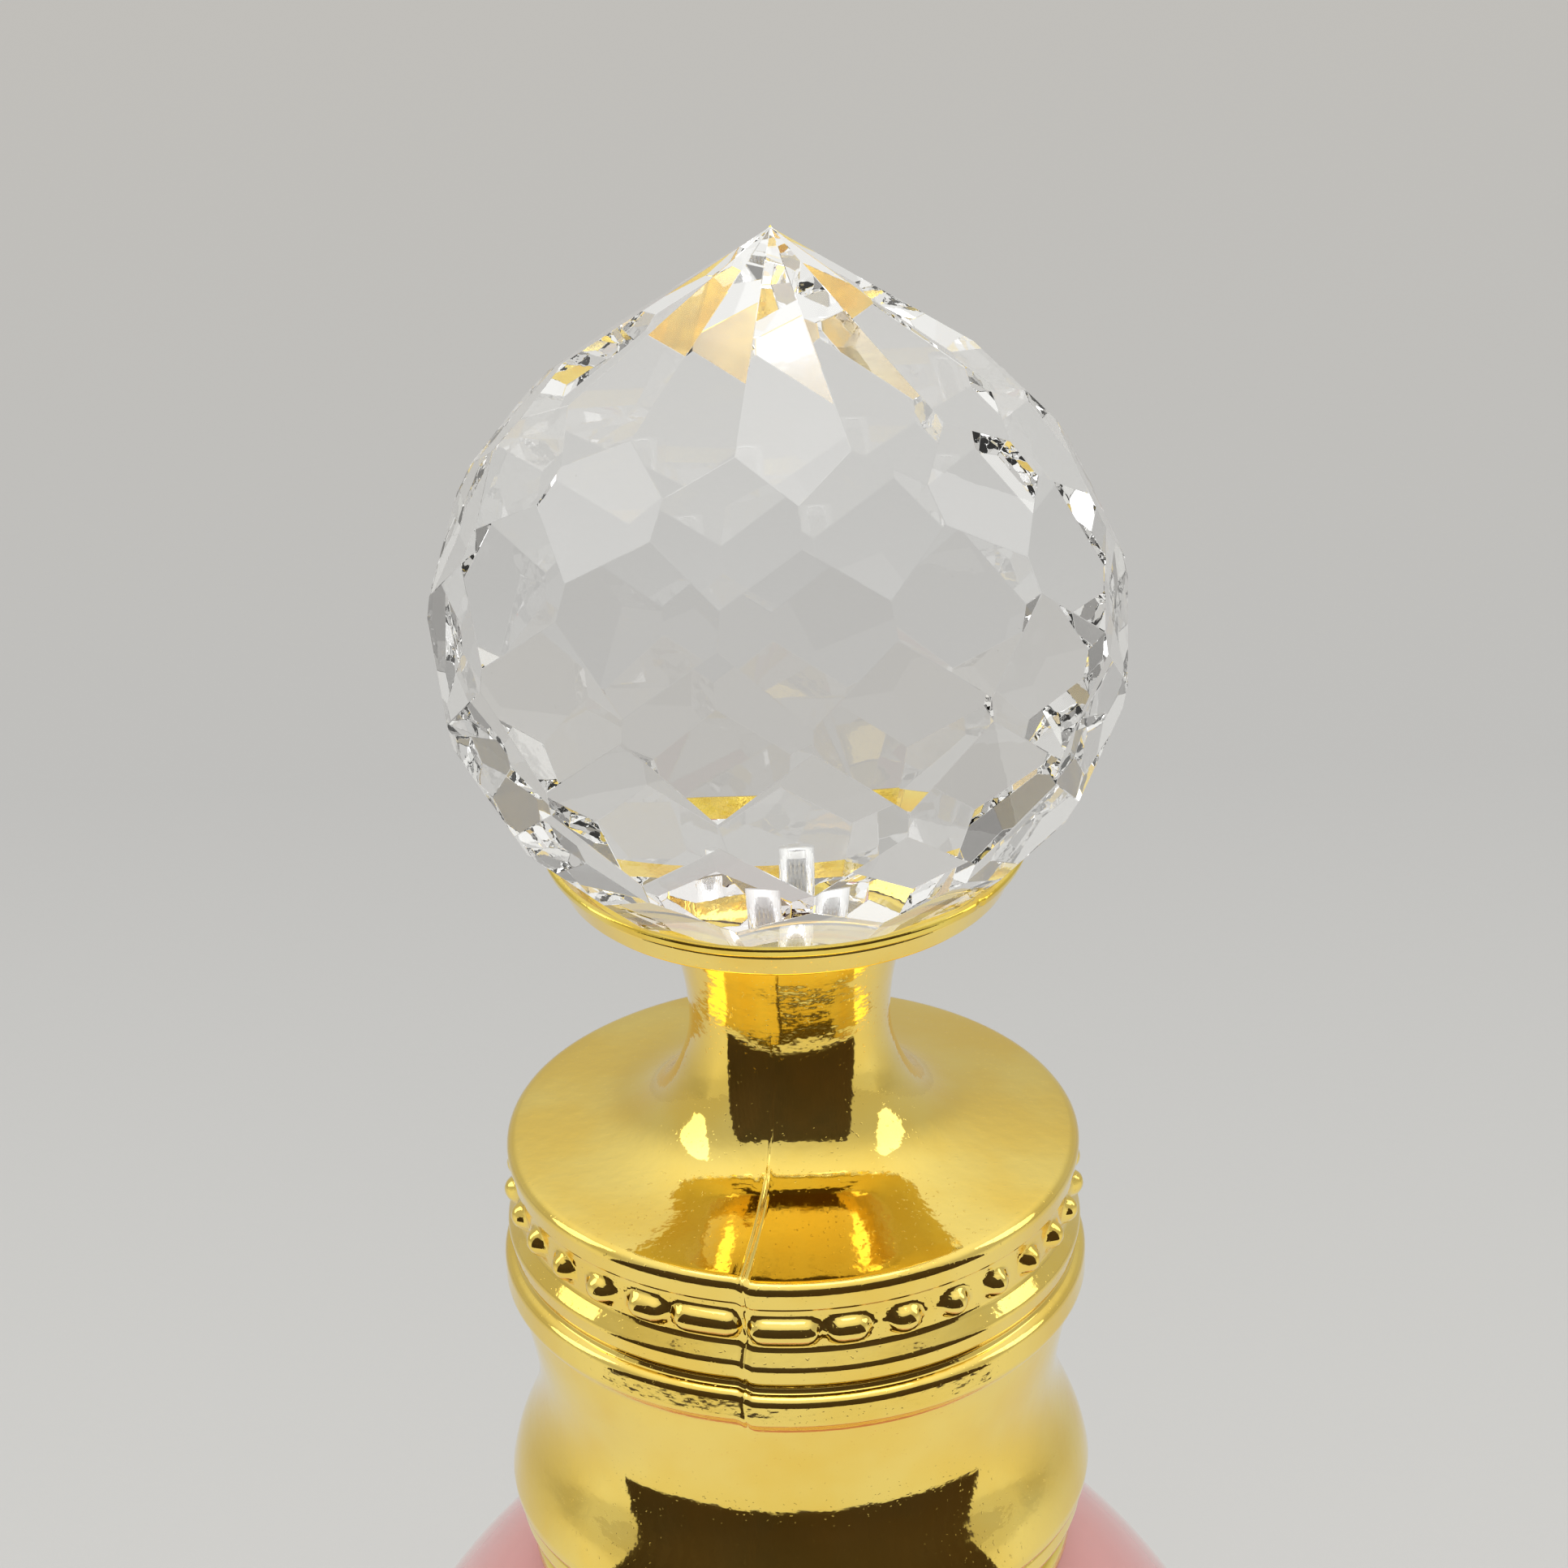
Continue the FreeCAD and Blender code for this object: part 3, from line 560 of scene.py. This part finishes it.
def bottleOutline():
    # Two half ellipses meet at the belly; the wall thins towards the shoulder and the neck is parallel.
    belly, middle, foot = (bottlePlan[part] for part in ("belly", "bellyHeight", "foot"))
    shoulder, land, bore = (bottlePlan[part] for part in ("shoulder", "land", "bore"))
    inner, innerFoot, floor = (bottlePlan[part] for part in ("innerBelly", "innerFoot", "floor"))
    top = boxMm("glass_bottle")[1][2]
    widest = math.pi / 2
    up = (land - middle) / math.sqrt(1 - (shoulder / belly) ** 2)
    down = middle / math.sqrt(1 - (foot / belly) ** 2)
    innerDown = (middle - floor) / math.cos(math.asin(innerFoot / inner))
    outsideTop = ellipseLine(belly, up, middle, math.asin(shoulder / belly), widest, 40)
    outsideFoot = ellipseLine(belly, -down, middle, widest, math.asin((foot + 0.35) / belly), 40)
    insideFoot = ellipseLine(inner, -innerDown, middle, math.asin(innerFoot / inner), widest, 30)
    insideTop = ellipseLine(inner, 28.5, middle, widest, math.asin(bore / inner), 40)
    heel = filletLine([(17.75, 0.85, 0), (17.1, 0.0, 0.7), (12.0, 0.0, 0.5), (10.0, 2.0, 0.8),
                       (0.0, 2.0, 0)])
    neck = filletLine([(bore, insideTop[-1, 1] + 0.2, 0), (bore, top, 0.4), (7.45, top, 0.45),
                       (7.45, 60.7, 0.3), (6.6, 60.2, 0.3), (6.6, land, 0.5), (shoulder, land, 0.25),
                       (shoulder + 0.5, land - 0.24, 0)])
    return np.vstack([[[0.0, floor], [6.0, floor]], insideFoot, insideTop[1:], neck[:-1],
                      outsideTop[1:], outsideFoot[1:], heel])


newPiece("pinkBottle", turnedMesh("pinkBottle", bottleOutline(), bottlePlan["turns"]), "bottle",
         "pink_glass", finishes["pink"], "glass_bottle")

collarPlan = {"bore": 7.95, "upstand": 8.5, "edge": 12.9, "thick": 2.1, "rounding": 0.85, "turns": 288}


def collarOutline():
    # A rounded flange with a thin upstand round the ferrule.
    low, high = (corner[2] for corner in boxMm("neck_collar"))
    bore, upstand, edge = (collarPlan[part] for part in ("bore", "upstand", "edge"))
    rounding, ledge = collarPlan["rounding"], low + collarPlan["thick"]
    return filletLine([(bore, low, 0.1), (edge, low, rounding), (edge, ledge, rounding),
                       (upstand, ledge, 0.3), (upstand, high, 0.2), (bore, high, 0.1)], closed=True)


newPiece("neckCollar", turnedMesh("neckCollar", collarOutline(), collarPlan["turns"]), "bottle",
         "gilt_collar", finishes["giltMetal"], "neck_collar")

ferrulePlan = {
    "hole": 3.25, "outside": 7.9, "inside": 7.55, "crimp": 6.9, "skirt": 59.4, "wall": 0.35,
    "jaws": 12, "press": 0.05, "turns": 288,
}


def ferruleOutline():
    # A cup upside down over the neck's bead, its skirt turned in under the bead.
    top = boxMm("crimp_ferrule")[1][2]
    hole, outside, inside, crimp, skirt, wall = (
        ferrulePlan[part] for part in ("hole", "outside", "inside", "crimp", "skirt", "wall"))
    return filletLine([(hole, top, 0.1), (outside, top, 0.5), (outside, skirt, 0.3),
                       (crimp, skirt, 0.1), (crimp, skirt + wall, 0.1), (inside, 60.3, 0.2),
                       (inside, top - wall, 0.3), (hole, top - wall, 0.1)], closed=True)


def ferruleShape(radius, height, angle):
    # Crimping jaws press the skirt in under the glass, with a small fold between each pair.
    skirt = smoothStep(61.0, 59.6, height)
    fold = (1 + np.cos(angle * ferrulePlan["jaws"])) / 2
    return radius - ferrulePlan["press"] * skirt * fold, height


ferruleMesh = turnedMesh("crimpFerrule", ferruleOutline(), ferrulePlan["turns"], ferruleShape)
newPiece("crimpFerrule", ferruleMesh, "bottle", "bare_aluminium", finishes["aluminium"], "crimp_ferrule")
print("glass and neck")


springPlan = {"wire": 0.3, "radius": 2.5, "turns": 5, "ends": 0.9, "foot": 51.0, "top": 59.25,
              "steps": 560, "sides": 14}


def springMesh():
    # A wire round a helix whose pitch closes up over the first and last part turn.
    wire, radius, foot = (springPlan[part] for part in ("wire", "radius", "foot"))
    length = springPlan["top"] - foot - 2 * wire
    t = np.linspace(0, 1, springPlan["steps"])
    around = 2 * math.pi * springPlan["turns"] * t
    closing = springPlan["ends"] / springPlan["turns"] * 0.5
    rise = np.interp(t, [0, closing, 1 - closing, 1], [0, 0.02, 0.98, 1]) * length
    path = np.stack([radius * np.cos(around), radius * np.sin(around), foot + wire + rise], 1)
    along = np.gradient(path, axis=0)
    along = along / np.linalg.norm(along, axis=1)[:, None]
    outward = np.stack([np.cos(around), np.sin(around), 0 * around], 1)
    upward = np.cross(along, outward)
    turn = np.linspace(0, 2 * math.pi, springPlan["sides"], endpoint=False)
    ring = np.cos(turn)[None, :, None] * outward[:, None] + np.sin(turn)[None, :, None] * upward[:, None]
    points = (path[:, None] + wire * ring).reshape(-1, 3)
    return meshFrom("returnSpring", np.vstack([points, path[[0, -1]]]), cappedFaces(len(path), len(turn)))


spring = newPiece("returnSpring", springMesh(), "bottle", "spring_steel", finishes["steel"], "return_spring")
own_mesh(spring)

nodeFinishes = {  # the CAD nodes that are shown as they are
    "white": ["spray_button", "nozzle_insert"], "natural": ["cap_friction_sleeve", "pump_piston"],
    "milky": ["pump_housing", "stem_guide", "pump_stem"], "tube": ["dip_tube"], "rubber": ["neck_gasket"],
    "steel": ["inlet_ball", "crystal_pin"], "giltMetal": ["button_sheath"],
}
for finish, nodes in nodeFinishes.items():
    for node in nodes:
        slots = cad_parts[node].data.materials
        slots.clear()
        slots.append(finishes[finish])
print("pump and spray head")


# The dark front is a painted reflection: a sheet seen only in reflections and through the crystal, standing
# for the unlit room in front. It starts where the lit paper ends, in an arc round the bottle, and leans back
# and narrows upwards.
studio = {
    "floor": 2.5, "edge": 0.118, "edgeTurn": 78, "back": 0.42, "backTurn": 50, "top": 0.315, "points": 25,
    # dark and grey are painted reflection colours: the dark front with a faint warm brown, and its paler
    # copy seen through the crystal
    "dark": ((0.020, 0.014, 0.010), (0.06, 0.032, 0.016)),
    "grey": ((0.20, 0.20, 0.20), (0.30, 0.29, 0.28)),
    "sky": ((0.54, 0.53, 0.505), (1.05, 1.05, 1.02)),  # low and high
}


def paleFloor():
    # Pale paper, painted darker further behind the bottle: painted shade for the light falling off there,
    # rising a little again far back.
    finish, place, put, bump = newFinish("paleFloor")
    fibre = place.noise(900, 3)
    cloud = place.noise(3, 2)
    behind = place.add("SeparateXYZ", {}, {"Vector": place}, "Y") * 2.0 + 0.1
    # painted shade: the ramp darkens the paper's colour from in front of the bottle to behind it, then lifts
    # it a little far back
    paperWithPaintedFalloff = place.add("ValToRGB", {"stops": [
        (0.06, (0.79, 0.79, 0.77)), (0.24, (0.60, 0.60, 0.595)), (0.48, (0.508, 0.505, 0.505)),
        (0.96, (0.580, 0.565, 0.550))]}, {"Fac": behind})
    put({"Base Color": (cloud * 0.25).blend(paperWithPaintedFalloff, (0.56, 0.555, 0.54)),
         "Roughness": fibre * 0.1 + 0.6, "Normal": bump(fibre, 0.00003)})
    return finish


def cardFinish(name, first, second):
    # A painted reflection of the unlit front of the studio, seen only in reflections and through the
    # crystal.
    finish, place, put = newFinish(name)[:3]
    put({"Base Color": place.noise(9, 2).blend(first, second), "Roughness": 0.9})
    return finish


def stageCard(name, corners, faces, finish):
    mesh = bpy.data.meshes.new(name)
    mesh.from_pydata(corners, [], faces)
    mesh.materials.append(finish)
    card = bpy.data.objects.new(name, mesh)
    scene.collection.objects.link(card)
    return card


def frontArc(reach, turn, height):
    # x = reach sin(angle), y = -reach cos(angle), over turn degrees to each side of the front.
    angle = np.radians(np.linspace(-turn, turn, studio["points"]))
    return np.stack([reach * np.sin(angle), -reach * np.cos(angle), 0 * angle + height], 1)


def frontCard(name, finish):
    # One row of quads between a low arc and a high one.
    foot = frontArc(studio["edge"], studio["edgeTurn"], 0.0005)
    head = frontArc(studio["back"], studio["backTurn"], studio["top"])
    count = studio["points"]
    number = np.arange(count - 1)
    faces = np.stack([number, number + 1, number + count + 1, number + count], 1)
    card = stageCard(name, np.vstack([foot, head]).tolist(), faces.tolist(), finish)
    card.visible_camera = False
    card.visible_diffuse = False
    card.visible_shadow = False
    return card


reach = studio["floor"]
stageCard("floor", [(-reach, -reach, 0), (reach, -reach, 0), (reach, reach, 0), (-reach, reach, 0)],
          [(0, 1, 2, 3)], paleFloor())
# painted reflection: the dark sheet is seen only by glossy rays, the grey copy only through the crystal
darkFront = frontCard("darkFront", cardFinish("darkCard", *studio["dark"]))
darkFront.visible_transmission = False
greyFront = frontCard("greyFront", cardFinish("greyCard", *studio["grey"]))
greyFront.visible_glossy = False  # painted reflection, a paler copy: through the crystal the same opening looks paler

world = bpy.data.worlds.new("studio")
scene.world = world
world.use_nodes = True
direction = Wire(world.node_tree).add("TexCoord", {}, {}, "Generated")
upward = direction.add("SeparateXYZ", {}, {"Vector": direction}, "Z")
sky = upward.above(0.30, 0.95).blend(*studio["sky"])
sky.join(sky, world.node_tree.nodes["Background"].inputs["Color"])

lamps = {
    "topLight": {"place": (0, -0.04, 0.42), "aim": (0, 0, 0.06), "size": (0.30, 0.20), "power": 0.28},
    "leftLight": {"place": (-0.36, 0.02, 0.26), "aim": (0, 0, 0.08), "size": (0.16, 0.30), "power": 0.17},
    "rightLight": {"place": (0.36, 0.02, 0.26), "aim": (0, 0, 0.08), "size": (0.16, 0.30), "power": 0.17},
}
for name, plan in lamps.items():
    light = bpy.data.lights.new(name, "AREA")
    light.shape = "ELLIPSE"
    light.size, light.size_y = plan["size"]
    light.energy = plan["power"]
    lamp = bpy.data.objects.new(name, light)
    lamp.location = plan["place"]
    lamp.rotation_euler = (Vector(plan["aim"]) - Vector(plan["place"])).to_track_quat("-Z", "Y").to_euler()
    scene.collection.objects.link(lamp)

lens = {"back": 0.1759, "above": 0.0944, "pitch": 27.18, "roll": -1.43, "focal": 102.5}
cameraData = bpy.data.cameras.new("camera")
cameraData.lens = lens["focal"]
cameraData.sensor_width = 36
cameraData.clip_start = 0.01
camera = bpy.data.objects.new("camera", cameraData)
camera.location = (0, -lens["back"], cupZ * mm + lens["above"])
tilt = Matrix.Rotation(math.radians(90 - lens["pitch"]), 3, "X")
camera.rotation_euler = (tilt @ Matrix.Rotation(math.radians(lens["roll"]), 3, "Z")).to_euler()
scene.collection.objects.link(camera)
scene.camera = camera
print("floor, light and camera")
